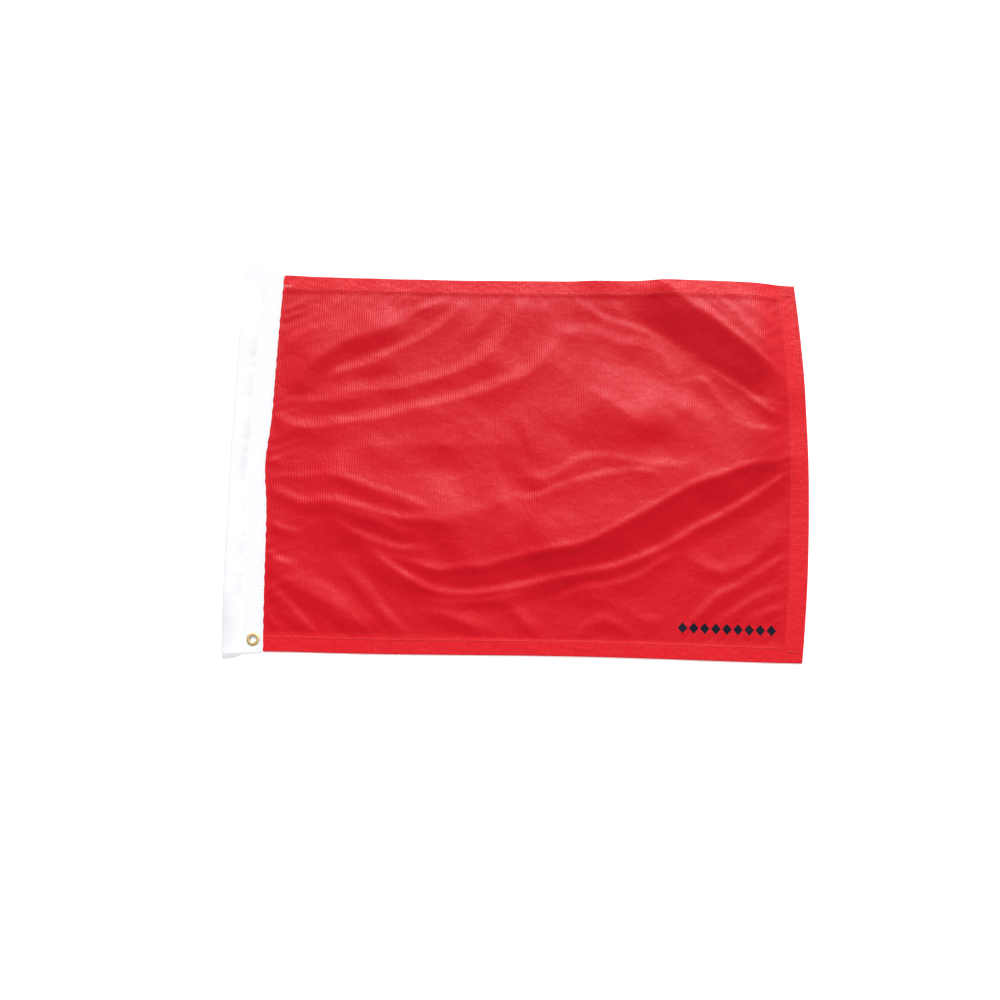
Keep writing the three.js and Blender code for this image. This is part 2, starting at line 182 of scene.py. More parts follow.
CREASES = [  # narrow folds, which the hems stop
    # From the seam's upper half, up and over towards the top hem
    ([(-208, 84), (-185, 97), (-170, 105), (-148, 113)], 0.8, 5, 11),
    ([(-206, 108), (-184, 126), (-166, 150)], 0.5, 4, 8),
    ([(-176, 108), (-156, 126), (-142, 150)], 0.5, 5, 8),
    ([(-106, 114), (-80, 125), (-62, 134), (-48, 150)], 0.9, 5, 9.5),
    ([(-106, 126), (-96, 134), (-84, 150)], 0.6, 6.5, 8),
    ([(-172, 58), (-145, 70), (-120, 78), (-100, 90), (-80, 101), (-62, 115), (-50, 130), (-36, 150)],
     1, 6, 12),
    ([(-56, 88), (-38, 109), (-28, 123), (-18, 150)], 1, 13, 9.5),
    ([(-170, 48), (-130, 54), (-100, 57), (-75, 64), (-50, 73), (-30, 85), (-18, 99), (-8, 115), (6, 150)],
     1.2, 9, 13.5),
    ([(-206, 56), (-190, 46), (-165, 45), (-140, 47), (-110, 50)], 0.5, 4, 11),
    ([(-210, 42), (-190, 27), (-165, 23), (-145, 27), (-120, 31), (-95, 38), (-70, 44), (-45, 51), (-20, 60),
      (0, 69), (12, 78), (22, 90), (36, 112)],
     1.1, 7.5, 15),
    ([(10, 116), (18, 128), (26, 150)], 0.6, 7.5, 8),
    # Upper right, beside the broad fold
    ([(15, 152), (40, 136), (65, 118), (85, 112), (102, 105), (115, 97), (128, 86)], 0.7, 4.5, 16),
    ([(62, 152), (74, 130), (80, 116)], 0.6, 6.5, 8),
    ([(104, 154), (130, 138), (148, 124), (168, 106), (185, 91), (214, 66)], 0.9, 4, 30),
    ([(134, 156), (165, 130), (178, 115), (190, 103), (222, 84)], 0.5, 3.5, 10),
    ([(162, 156), (190, 126), (226, 98)], 0.9, 3.5, 22),
    ([(182, 156), (204, 134), (228, 116)], 0.4, 3.5, 14),
    ([(138, 84), (158, 71), (175, 60), (190, 48), (202, 42), (240, 38)], 0.9, 4, 18),
    ([(122, 64), (143, 68), (152, 60), (160, 48), (176, 34)], 0.7, 4, 12),
    ([(14, 103), (45, 107), (60, 105), (75, 98), (100, 96), (112, 88), (120, 72), (132, 56)], 0.7, 7.5, 16),
    ([(156, 40), (190, 29), (240, 28)], 0.6, 3.5, 22),
    ([(170, 62), (194, 50), (240, 47)], 0.4, 4, 8),
    # Middle
    ([(-4, 46), (6, 18), (18, -6)], 0.6, 13, 8),
    ([(34, 52), (42, 30), (48, 4)], 0.5, 15.5, 8),
    ([(-12, -12), (15, -15), (30, -10), (45, 0), (60, 4), (80, 2), (100, -2), (125, -2), (146, 4)],
     0.6, 5.5, 9.5),
    ([(-18, -30), (10, -30), (30, -22), (45, -16), (60, -12), (80, -8), (100, -8), (124, -16)], 0.6, 4, 12),
    # From the seam's lower half, down and over to the middle
    ([(-212, -4), (-195, -5), (-182, -9)], 0.5, 4, 7),
    ([(-212, -16), (-180, -17), (-160, -15), (-140, -17), (-120, -24), (-100, -30), (-78, -38), (-60, -48)],
     0.5, 4, 9.5),
    ([(-212, -22), (-185, -32), (-170, -38), (-150, -36), (-125, -42), (-100, -48), (-80, -50), (-52, -49)],
     1, 6, 8),
    ([(-156, -41), (-130, -47), (-110, -52), (-95, -58), (-68, -61)], 0.7, 4, 8),
    ([(-154, -46), (-135, -58), (-120, -65), (-105, -70), (-90, -73), (-62, -72)], 0.8, 4, 11),
    ([(-208, -48), (-185, -59), (-166, -62)], 0.8, 4, 8),
    ([(-208, -74), (-188, -84), (-168, -88)], 0.8, 4, 8),
    # The crests of the long pair that sweeps up to the fly
    ([(-112, -77), (-85, -83), (-65, -88), (-45, -86), (-25, -84), *LONG_CREST, (178, -1), (210, 4)],
     0.5, 4, 5.5),
    ([(-126, -68), (-105, -84), (-90, -94), (-70, -104), (-55, -107), (-35, -107), (-10, -103), (15, -97),
      (35, -92), (60, -87), (80, -82), (100, -74), (120, -64), (140, -51), (160, -41), (180, -29), (200, -15),
      (230, 4)],
     1.4, 5, 12),
    ([(-84, -110), (-50, -114), (-20, -112), (0, -108), (14, -112)], 0.5, 4, 8),
    ([(20, -114), (50, -102), (75, -97), (95, -90), (110, -80), (124, -73), (138, -75)], 1, 5, 13.5),
    # Fan from the lower part of the seam to the bottom hem
    ([(-158, -72), (-130, -95), (-120, -110), (-105, -125), (-84, -150)], 0.8, 7.5, 11),
    ([(-136, -86), (-118, -104), (-100, -126), (-72, -150)], 0.6, 5, 8),
    ([(-206, -84), (-172, -104), (-145, -117), (-125, -130), (-98, -152)], 1.6, 14, 15),
    ([(-212, -94), (-182, -116), (-150, -150)], 1.1, 5, 15),
    ([(-212, -112), (-192, -130), (-178, -154)], 0.8, 4, 12),
    ([(-84, -120), (-62, -122), (-42, -128), (-28, -140), (-20, -154)], 1.3, 10, 10),
    ([(-20, -106), (-6, -114), (4, -126), (12, -134), (24, -150)], 1, 9, 9.5),
    ([(34, -106), (60, -108), (92, -120), (112, -136)], 0.9, 14, 14),
    ([(38, -148), (58, -127), (76, -128), (100, -148)], 0.9, 6.5, 9.5),
    ([(92, -126), (112, -122), (128, -110)], 0.5, 5, 9.5),
    # Lower right, above the print and at the fly
    ([(122, -138), (142, -118), (155, -105), (170, -97), (185, -88), (200, -78), (222, -64)], 1, 5, 9.5),
    ([(122, -70), (140, -78), (152, -84), (165, -84), (180, -78), (192, -68), (205, -56), (222, -38)],
     1, 11.5, 9.5),
    ([(146, -132), (170, -115), (185, -105), (218, -90)], 0.7, 4, 8),
    ([(170, -128), (192, -116), (220, -108)], 0.5, 4, 8),
]
CURVE_STEPS = 5  # drawn between two of a crest's points
FADE, FADE_SHARE = 30 * MM, 0.4  # a fold rises from nothing over this length, or this share of a short one
REACH = 1.4  # a fold is followed this many of its widths out
SWEEP_CREST, SWEEP_FOOT = 1.6 * MM, 0.07  # roundness of a crest, and of a foot as a share of the width
CREASE_CREST, CREASE_FOOT = 0.7 * MM, 0.1
# Stitching holds the folds down: over this length out from the seam, and from this far onto a hem to this
# far off it, with these shares of the fold left on the top, bottom and fly hems.
SWEEP_HELD = (30 * MM, 12 * MM, 24 * MM, (1.0, 0.5, 0.2))
CREASE_HELD = (8 * MM, 2 * MM, 14 * MM, (0.2, 0.2, 0.15))
# Gathers along the seam and the top, bottom and fly hems, in millimetres: the wave, the drift of its
# spacing, how far they reach in, and their height.
GATHERS = ((12, 38, 18, 0.55), (12, 47, 12, 0.4), (13, 53, 12, 0.4), (10, 41, 10, 0.5))
GATHER_RISE = 4 * MM  # from the stitches to a gather's full height
GATHER_DRIFT, GATHER_UNEVEN = 1.8, 0.45  # of their spacing, as an angle, and of their height, as a share
SEAM_LEAN, FLY_LEAN = 0.4, 0.6  # how far the gathers run sideways, over how far they run in
LEAN_WIDTH = 120 * MM  # the long hems' gathers lean outwards, in full from this far out
REST = 0.15 * MM  # softness with which the cloth comes to rest on the floor
RESTING = 3.0  # lowest the cloth may sink under its level at the hems, in those steps
HEM_STEP, HEM_STEP_RUN = 0.45 * MM, 2.2 * MM  # the single ply lies lower than the hems
SWELLS, SWELL_SEED = 26, 7
SWELL_WAVES, SWELL_STEEPNESS = (14, 70), 0.0012  # shortest and longest in millimetres, height over length
SEAM_ARCH = 3.5 * MM  # how far the seam bows towards the fold
NIP, NIP_Y, NIP_REACH = 3.2 * MM, -7 * MM, 26 * MM  # it is drawn in further near its middle
SCALLOP, SCALLOP_PITCH, SCALLOP_DRIFT = 0.3 * MM, 9.5 * MM, 67 * MM  # small waves that its stitches pull
FOLD_ARCH = 2 * MM  # the sleeve's folded edge bows less than its seam
SWAY_REACH = 42 * MM  # how far into the field the seam's bow is felt
EDGE_WAVE, EDGE_START = 0.8 * MM, 25 * MM  # the long edges' waves are this high, from this far off the seam
TOP_EDGE = (400 * MM, -10 * MM, -0.5 * MM)  # length and phase of the wave, and the edge's shift
BOTTOM_EDGE = (360 * MM, 40 * MM, 0.8 * MM)


def smooth(t):
    t = np.clip(t, 0, 1)
    return t * t * (3 - 2 * t)


def fly_x(y):
    """X of the bowed fly edge."""
    along = (y - MID_Y) / HALF_HEIGHT
    return FLY_X - bpy.context.scene.flag_field.fly_bow * along ** 2


def arch(y):
    """1 at the middle of the hoist, and 0 at its ends."""
    return np.clip(1 - ((y - MID_Y) / HALF_HEIGHT) ** 2, 0, 1)


def seam_bow(y):
    """How far the seam is drawn in towards the fold."""
    nip = np.exp(-((y - NIP_Y) / NIP_REACH) ** 2)
    scallops = np.sin(math.tau * y / SCALLOP_PITCH) * np.sin(math.tau * y / SCALLOP_DRIFT + 0.8)
    return SEAM_ARCH * arch(y) + NIP * nip + SCALLOP * scallops


def sway(x, y):
    """Sideways shift of the laid cloth: the seam bows towards the fold, and the fold a little with it."""
    bow = seam_bow(y)
    inside = np.clip((SEAM_X - x) / SLEEVE_WIDTH, 0, 1)
    out = np.clip(x - SEAM_X, 0, None)
    return -np.where(x < SEAM_X, bow * (1 - inside) + FOLD_ARCH * arch(y) * inside,
                     bow * np.exp(-(out / SWAY_REACH) ** 2))


def wander(x, y):
    """Small drift of the two long edges."""
    share = np.clip((y - BOTTOM_Y) / (2 * HALF_HEIGHT), 0, 1)
    top, bottom = (EDGE_WAVE * np.sin(math.tau * (x + phase) / wave) + shift
                   for wave, phase, shift in (TOP_EDGE, BOTTOM_EDGE))
    return (top * share + bottom * (1 - share)) * smooth((x - SEAM_X) / EDGE_START)


def smooth_line(points):
    """Closely spaced points on a smooth curve through the given ones."""
    p = np.array(points, float) * MM
    p = np.vstack((2 * p[0] - p[1], p, 2 * p[-1] - p[-2]))
    t = np.linspace(0, 1, CURVE_STEPS + 1)[:-1, None]
    parts = []
    for a, b, c, d in zip(p, p[1:], p[2:], p[3:]):
        parts.append(b + 0.5 * ((c - a) * t + (2 * a - 5 * b + 4 * c - d) * t ** 2
                                + (3 * b - a - 3 * c + d) * t ** 3))
    return np.vstack((*parts, p[-2]))


class Relief:
    """Height of the laid cloth above flat, on a grid of 1 mm that runs past the cloth by MARGIN."""

    MARGIN = 4 * MM

    def __init__(self):
        s = bpy.context.scene.flag_field
        self.low = np.array((ALLOWANCE_X, BOTTOM_Y)) - self.MARGIN
        size = np.array((FLY_X, TOP_Y)) + self.MARGIN - self.low
        self.counts = np.ceil(size / MM).astype(int) + 1
        self.x, self.y = np.meshgrid(*(low + MM * np.arange(n) for low, n in zip(self.low, self.counts)),
                                     indexing="ij")
        self.from_seam = self.x - SEAM_X + seam_bow(self.y)
        self.from_hems = (TOP_Y - LONG_HEM - self.y, self.y - BOTTOM_Y - LONG_HEM,
                          fly_x(self.y) - s.fly_hem - self.x)
        sweeps = self.folded(SWEEPS, SWEEP_CREST, SWEEP_FOOT) + self.swells()
        sweeps *= self.held(*SWEEP_HELD)
        creases = self.folded(CREASES, CREASE_CREST, CREASE_FOOT)
        creases *= self.held(*CREASE_HELD)
        self.z = (sweeps + creases) * s.folds + self.puckers()
        self.z = np.logaddexp(0, self.z / REST + RESTING) * REST - RESTING * REST

    def folded(self, folds, crest, foot):
        """The heights of all the folds of a table, added up."""
        z = np.zeros(self.counts)
        for points, height, above, below in folds:
            self.add_fold(z, smooth_line(points), height * MM, above * MM, below * MM, crest, foot)
        return z

    def add_fold(self, z, line, height, above, below, crest, foot):
        """Adds one fold to z: the height of each point comes from its nearest place on the crest."""
        reach = REACH * max(above, below)
        first = np.clip(((line.min(0) - reach - self.low) / MM).astype(int), 0, self.counts)
        last = np.clip(((line.max(0) + reach - self.low) / MM).astype(int), 0, self.counts)
        part = np.s_[first[0]:last[0], first[1]:last[1]]
        x, y = self.x[part], self.y[part]
        nearest = np.full(x.shape, np.inf)
        upper = np.zeros(x.shape, bool)
        along = np.zeros(x.shape)
        run = 0.0
        for a, b in zip(line, line[1:]):
            step = b - a
            span = float(np.hypot(*step))
            t = np.clip(((x - a[0]) * step[0] + (y - a[1]) * step[1]) / span ** 2, 0, 1)
            dx, dy = x - a[0] - t * step[0], y - a[1] - t * step[1]
            away = dx * dx + dy * dy
            closer = away < nearest
            nearest = np.where(closer, away, nearest)
            upper = np.where(closer, step[0] * dy > step[1] * dx, upper)
            along = np.where(closer, run + t * span, along)
            run += span
        fade = smooth(np.minimum(along, run - along) / min(FADE, FADE_SHARE * run))
        width = np.where(upper, above, below)
        down = (np.sqrt(nearest + crest ** 2) - crest) / width
        z[part] += height * fade * foot * np.logaddexp(0, (1 - down) / foot)

    def swells(self):
        """Low, slow unevenness between the folds."""
        draw = np.random.default_rng(SWELL_SEED)
        z = np.zeros(self.counts)
        for _ in range(SWELLS):
            heading, turn = draw.uniform(0, math.tau, 2)
            wave = draw.uniform(*SWELL_WAVES) * MM
            across = self.x * math.cos(heading) + self.y * math.sin(heading)
            z += wave * SWELL_STEEPNESS * np.sin(math.tau * across / wave + turn)
        return z

    def held(self, from_seam, onto_hem, off_hem, shares):
        """How free the cloth is: not at all at the seam, and `shares` on the top, bottom and fly hems."""
        free = smooth(self.from_seam / from_seam)
        for inner, share in zip(self.from_hems, shares):
            free = free * (share + (1 - share) * smooth((inner + onto_hem) / (onto_hem + off_hem)))
        return free

    def puckers(self):
        """Short gathers that the stitching draws along the seam and the hems, and the step off the hems."""
        top, bottom, fly = self.from_hems
        lean = np.clip(self.x / LEAN_WIDTH, -1, 1)
        rows = ((self.from_seam, self.y - SEAM_LEAN * self.from_seam), (top, self.x - lean * top),
                (bottom, self.x - lean * bottom), (fly, self.y + FLY_LEAN * fly))
        z = sum(self.gather(*row, *shape) for row, shape in zip(rows, GATHERS))
        nearest = np.minimum(np.minimum(top, bottom), fly)
        return z - HEM_STEP * smooth(nearest / HEM_STEP_RUN) * smooth(self.from_seam / GATHER_RISE)

    @staticmethod
    def gather(depth, along, wave, drift, fade, height):
        """Uneven small waves that start at a row of stitches and die away in from it."""
        phase = math.tau * along / (wave * MM) + GATHER_DRIFT * np.sin(math.tau * along / (drift * MM))
        grow = smooth(depth / GATHER_RISE)
        die = np.exp(-np.clip(depth, 0, None) / (fade * MM))
        uneven = 1 + GATHER_UNEVEN * (np.sin(math.tau * along / (2.7 * drift * MM) + 1) - 1)
        return height * MM * (0.5 + 0.5 * np.sin(phase)) * grow * die * uneven

    def at(self, x, y):
        """Height at points in X and Y, between the grid's own."""
        u = np.clip((x - self.low[0]) / MM, 0, self.counts[0] - 1.001)
        v = np.clip((y - self.low[1]) / MM, 0, self.counts[1] - 1.001)
        i, j = u.astype(int), v.astype(int)
        s, t = u - i, v - j
        near = self.z[i, j] * (1 - t) + self.z[i, j + 1] * t
        far = self.z[i + 1, j] * (1 - t) + self.z[i + 1, j + 1] * t
        return near * (1 - s) + far * s


RELIEF = []  # the one relief, made by the first piece that needs it


def laid(points):
    """Points of the flat cut, carried to where the cloth lies."""
    if not RELIEF:
        RELIEF.append(Relief())
    x, y, z = np.asarray(points, float).T
    laid_x = x + sway(x, y)
    laid_y = y + wander(x, y)
    return np.column_stack((laid_x, laid_y, z + RELIEF[0].at(laid_x, laid_y)))


# ---- Sheets and pieces ----


def vertices(obj):
    return np.array([v.co for v in obj.data.vertices], float).reshape(-1, 3)


def set_vertices(obj, points):
    obj.data.vertices.foreach_set("co", np.asarray(points, np.float32).ravel())
    obj.data.update()


def active(obj):
    bpy.ops.object.select_all(action="DESELECT")
    obj.select_set(True)
    bpy.context.view_layer.objects.active = obj


SMOOTH_BELOW = math.radians(50)
MERGE = 0.01 * MM  # points closer than this are one


def finished(obj, material, replaced):
    """Smooth shading and the finish, and hides the CAD parts that the piece replaces."""
    active(obj)
    bpy.ops.object.shade_smooth_by_angle(angle=SMOOTH_BELOW)
    obj.data.materials.clear()
    obj.data.materials.append(material)
    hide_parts(*replaced)


def sheet(name, grid, uv, thickness, hole=None):
    """A sheet with a thickness, from a grid of points. No face lies in the hole, a centre and a radius."""
    rows, columns = grid.shape[:2]
    index = np.arange(rows * columns).reshape(rows, columns)
    corners = (index[:-1, :-1], index[1:, :-1], index[1:, 1:], index[:-1, 1:])
    faces = np.stack([c.ravel() for c in corners], 1)
    points = grid.reshape(-1, 3)
    if hole:
        centre, radius = hole
        middle = points[faces].mean(1)[:, :2] - np.array(centre[:2])
        faces = faces[np.hypot(*middle.T) > radius]
    mesh = bpy.data.meshes.new(name)
    mesh.from_pydata(points.tolist(), [], faces.tolist())
    layer = mesh.uv_layers.new(name="UVMap")
    layer.data.foreach_set("uv", uv.reshape(-1, 2)[faces.ravel()].astype(np.float32).ravel())
    obj = bpy.data.objects.new(name, mesh)
    bpy.context.scene.collection.objects.link(obj)
    active(obj)
    bpy.ops.object.mode_set(mode="EDIT")
    bpy.ops.mesh.select_all(action="SELECT")
    bpy.ops.mesh.delete_loose()
    bpy.ops.object.mode_set(mode="OBJECT")
    solidify = obj.modifiers.new("Ply", "SOLIDIFY")
    solidify.thickness = thickness
    solidify.offset = 0
    bpy.ops.object.modifier_apply(modifier=solidify.name)
    return obj


def laid_sheet(name, x, y, z, thickness, hole=None, flip=False):
    """A sheet through these places of the flat cut, laid. Its UV map is the cut in metres, from the seam's
    lower end. `flip` turns over a sheet whose face would point down."""
    flat = np.stack(np.broadcast_arrays(x, y, z), -1)
    if flip:
        flat = flat[::-1]
    grid = laid(flat.reshape(-1, 3)).reshape(flat.shape)
    return sheet(name, grid, flat[..., :2] - (SEAM_X, BOTTOM_Y), thickness, hole)


def stitches(name, start, pitch, count, size, other_side, place):
    """A row of thread stitches. `start` is the first one's centre, `pitch` the step to the next, `size` a
    stitch's own, and `other_side` how far below a second row lies on the cloth's back. `place` carries
    the flat row's vertices to the laid cloth."""
    bpy.ops.object.select_all(action="DESELECT")
    bpy.ops.mesh.primitive_uv_sphere_add(segments=8, ring_count=5, radius=0.5, location=(0, 0, 0))
    obj = bpy.context.object
    obj.name = obj.data.name = name
    bpy.ops.object.mode_set(mode="EDIT")
    bpy.ops.transform.resize(value=size)
    bpy.ops.transform.translate(value=start)
    bpy.ops.object.mode_set(mode="OBJECT")
    steps = [(pitch, count)]
    if other_side:
        steps.append((Vector(pitch) / 2 - Vector((0, 0, other_side)), 2))
    for offset, number in steps:
        array = obj.modifiers.new("Row", "ARRAY")
        array.use_relative_offset = False
        array.use_constant_offset = True
        array.constant_offset_displace = offset
        array.count = number
        bpy.ops.object.modifier_apply(modifier=array.name)
    set_vertices(obj, place(vertices(obj)))
    return obj


def lathe(name, profile, centre, steps):
    """A ring from its closed profile of (radius, z) points, spun about a Z axis through the centre."""
    bpy.ops.object.select_all(action="DESELECT")
    bpy.ops.mesh.primitive_circle_add(vertices=len(profile), radius=1, location=(0, 0, 0))
    obj = bpy.context.object
    obj.name = obj.data.name = name
    set_vertices(obj, [(centre.x + radius, centre.y, z) for radius, z in profile])
    bpy.ops.object.mode_set(mode="EDIT")
    bpy.ops.mesh.select_all(action="SELECT")
    bpy.ops.mesh.spin(steps=steps, angle=math.tau, center=(centre.x, centre.y, 0), axis=(0, 0, 1))
    bpy.ops.mesh.select_all(action="SELECT")
    bpy.ops.mesh.remove_doubles(threshold=MERGE)
    bpy.ops.mesh.normals_make_consistent(inside=False)
    bpy.ops.object.mode_set(mode="OBJECT")
    return obj


def bends(obj):
    """Bakes the piece's transform into its mesh."""
    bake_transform(obj)


# ---- Materials ----


def node(tree, kind, inputs=None, **settings):
    """Adds a node. An input is a value, or another node's socket to link."""
    made = tree.nodes.new(kind)
    for name, value in settings.items():
        setattr(made, name, value)
    for socket, value in (inputs or {}).items():
        if isinstance(value, bpy.types.NodeSocket):
            tree.links.new(value, made.inputs[socket])
        else:
            made.inputs[socket].default_value = value
    return made


def material_named(name, surface):
    """A new material, its tree and its shader. `surface` has the values that are the same all over."""
    material = bpy.data.materials.new(name)
    material.use_nodes = True
    tree = material.node_tree
    shader = tree.nodes["Principled BSDF"]
    for socket, value in surface.items():
        shader.inputs[socket].default_value = value
    return material, tree, shader


def wave_scale(pitch):
    """Scale that gives a Wave texture's bands this pitch: a band takes tau / 20 of the scaled length."""
    return math.tau / (20 * pitch)


def rgba(colour_value, share=1.0):
    """A colour as a socket takes it, darkened to a share of itself."""
    return (*(c * share for c in colour_value), 1.0)


# Scales of the nylon's noises, in cells a metre, with the size of a cell.
SLUBS = 850.0  # 1.2 mm across the ribs, and 10 mm along them
SLUB_RUN = 0.12
PATCHES = 14.0  # 71 mm
CRINKLES = 110.0  # 9 mm
SEWN_CRINKLES = 260.0  # 4 mm, on the hems
RIB_SHADE = (0.72, 0.62, 0.66, 1.0)  # what is left of the colour between two ribs


def nylon(name, settings, zones):
    """Satin nylon, woven with fine upright ribs: even red with a soft white gloss on the crests of folds.
    With zones, the cloth has its hems' deeper colour and crinkles, and its printed row."""
    material, tree, shader = material_named(name, {
        "Roughness": 0.45, "Specular IOR Level": 0.3, "Sheen Weight": 0.02, "Sheen Roughness": 0.35,
        "Sheen Tint": (1.0, 0.75, 0.75, 1.0)})
    uv = node(tree, "ShaderNodeUVMap", uv_map="UVMap").outputs[0]
    # The ribs are drawn at the spacing at which they show from a metre away; the yarns are finer.
    ribs = node(tree, "ShaderNodeTexWave", {"Vector": uv, "Scale": wave_scale(settings.rib), "Detail": 1.0,
                                            "Detail Scale": 0.5, "Distortion": 1.2},
                bands_direction="X").outputs["Fac"]
    drawn = node(tree, "ShaderNodeMapping", {"Vector": uv, "Scale": (1.0, SLUB_RUN, 1.0)}).outputs[0]
    slubs = node(tree, "ShaderNodeTexNoise", {"Vector": drawn, "Scale": SLUBS, "Detail": 2.0}).outputs["Fac"]
    patches = node(tree, "ShaderNodeTexNoise", {"Vector": uv, "Scale": PATCHES, "Detail": 3.0}).outputs["Fac"]
    wrinkles = node(tree, "ShaderNodeTexNoise", {"Vector": uv, "Scale": CRINKLES, "Detail": 4.0,
                                                 "Distortion": 0.4}).outputs["Fac"]
    base = rgba(settings.cloth)
    if zones:
        edge = node(tree, "ShaderNodeAttribute", attribute_name="hem_distance").outputs["Fac"]
        on_hem = node(tree, "ShaderNodeMath", {0: edge, 1: 1.0}, operation="LESS_THAN").outputs[0]
        base = node(tree, "ShaderNodeMix", {0: on_hem, 6: base, 7: rgba(settings.hem)},
                    data_type="RGBA").outputs[2]
        sewn = node(tree, "ShaderNodeTexNoise", {"Vector": uv, "Scale": SEWN_CRINKLES,
                                                 "Detail": 2.0}).outputs["Fac"]
        sewn = node(tree, "ShaderNodeMath", {0: sewn, 1: on_hem}, operation="MULTIPLY").outputs[0]
        wrinkles = node(tree, "ShaderNodeMath", {0: sewn, 1: 0.8, 2: wrinkles},
                        operation="MULTIPLY_ADD").outputs[0]
        ink = lozenges(tree, uv)
        base = node(tree, "ShaderNodeMix", {0: ink, 6: base, 7: rgba(settings.print)},
                    data_type="RGBA").outputs[2]
    else:
        base = rgba(settings.hem)
    relief = node(tree, "ShaderNodeMath", {0: slubs, 1: 1.4, 2: ribs}, operation="MULTIPLY_ADD").outputs[0]
    shade = node(tree, "ShaderNodeMapRange", {0: relief, 1: 0.3, 2: 2.0, 3: 0.0, 4: 0.3}).outputs[0]
    dark = node(tree, "ShaderNodeMix", {0: 1.0, 6: base, 7: RIB_SHADE},
                data_type="RGBA", blend_type="MULTIPLY").outputs[2]
    ribbed = node(tree, "ShaderNodeMix", {0: shade, 6: base, 7: dark}, data_type="RGBA").outputs[2]
    uneven = node(tree, "ShaderNodeMapRange", {0: patches, 1: 0.35, 2: 0.65, 3: 0.0, 4: 0.08}).outputs[0]
    tone = node(tree, "ShaderNodeMix", {0: uneven, 6: ribbed, 7: dark}, data_type="RGBA").outputs[2]
    tree.links.new(tone, shader.inputs["Base Color"])
    crinkled = node(tree, "ShaderNodeBump", {"Strength": 0.5, "Distance": 0.8 * MM,
                                             "Height": wrinkles}).outputs[0]
    bump = node(tree, "ShaderNodeBump", {"Strength": 0.6, "Distance": 0.16 * MM, "Height": relief,
                                         "Normal": crinkled})
    tree.links.new(bump.outputs[0], shader.inputs["Normal"])
    return material


PRINT_LEFT = 320 * MM  # from the seam
PRINT_LINE = 24.5 * MM  # from the bottom edge
PRINT_PITCH = 8.6 * MM
PRINT_COUNT = 9
PRINT_HEIGHT = 9 * MM
PRINT_SLANT, PRINT_TRIM = 0.9, 0.06  # a lozenge's sides, and how much it falls short of its neighbours


def lozenges(tree, uv):
    """Share of ink: one row of plain lozenges."""
    split = node(tree, "ShaderNodeSeparateXYZ", {0: uv})
    along = node(tree, "ShaderNodeMath", {0: split.outputs[0], 1: PRINT_LEFT},
                 operation="SUBTRACT").outputs[0]
    along = node(tree, "ShaderNodeMath", {0: along, 1: PRINT_PITCH}, operation="DIVIDE").outputs[0]
    side = node(tree, "ShaderNodeMath", {0: along, 1: 0.5}, operation="PINGPONG").outputs[0]
    across = node(tree, "ShaderNodeMath", {0: split.outputs[1], 1: PRINT_LINE},
                  operation="SUBTRACT").outputs[0]
    across = node(tree, "ShaderNodeMath", {0: across}, operation="ABSOLUTE").outputs[0]
    inside = node(tree, "ShaderNodeMath", {0: across, 1: -PRINT_SLANT / PRINT_HEIGHT, 2: side},
                  operation="MULTIPLY_ADD").outputs[0]
    ink = node(tree, "ShaderNodeMath", {0: inside, 1: PRINT_TRIM}, operation="GREATER_THAN").outputs[0]
    row = node(tree, "ShaderNodeMath", {0: along, 1: PRINT_COUNT / 2, 2: PRINT_COUNT / 2},
               operation="COMPARE").outputs[0]
    return node(tree, "ShaderNodeMath", {0: ink, 1: row}, operation="MULTIPLY").outputs[0]


CANVAS_THREAD = 0.9 * MM  # drawn at twice the real spacing, so that the weave shows
LINT = 420.0  # cells a metre, of 2.4 mm


def canvas(settings):
    """Bleached plain-woven cotton canvas: matt white with a faint square weave."""
    material, tree, shader = material_named("Bleached Plain-Woven Canvas", {
        "Roughness": 0.85, "Specular IOR Level": 0.3})
    uv = node(tree, "ShaderNodeUVMap", uv_map="UVMap").outputs[0]
    threads = []
    for direction in ("X", "Y"):
        made = node(tree, "ShaderNodeTexWave", {"Vector": uv, "Scale": wave_scale(CANVAS_THREAD),
                                                "Distortion": 0.6, "Detail": 1.0}, bands_direction=direction)
        threads.append(made.outputs["Fac"])
    weave = node(tree, "ShaderNodeMath", {0: threads[0], 1: threads[1]}, operation="MULTIPLY").outputs[0]
    lint = node(tree, "ShaderNodeTexNoise", {"Vector": uv, "Scale": LINT, "Detail": 3.0}).outputs["Fac"]
    relief = node(tree, "ShaderNodeMath", {0: lint, 1: 0.6, 2: weave}, operation="MULTIPLY_ADD").outputs[0]
    shade = node(tree, "ShaderNodeMapRange", {0: relief, 1: 0.2, 2: 1.4, 3: 0.12, 4: 0.0}).outputs[0]
    tone = node(tree, "ShaderNodeMix", {0: shade, 6: rgba(settings.canvas), 7: rgba(settings.canvas, 0.8)},
                data_type="RGBA").outputs[2]
    tree.links.new(tone, shader.inputs["Base Color"])
    bump = node(tree, "ShaderNodeBump", {"Strength": 0.35, "Distance": 0.15 * MM, "Height": relief})
    tree.links.new(bump.outputs[0], shader.inputs["Normal"])
    return material


TWIST = 0.45 * MM  # pitch of the thread's twist


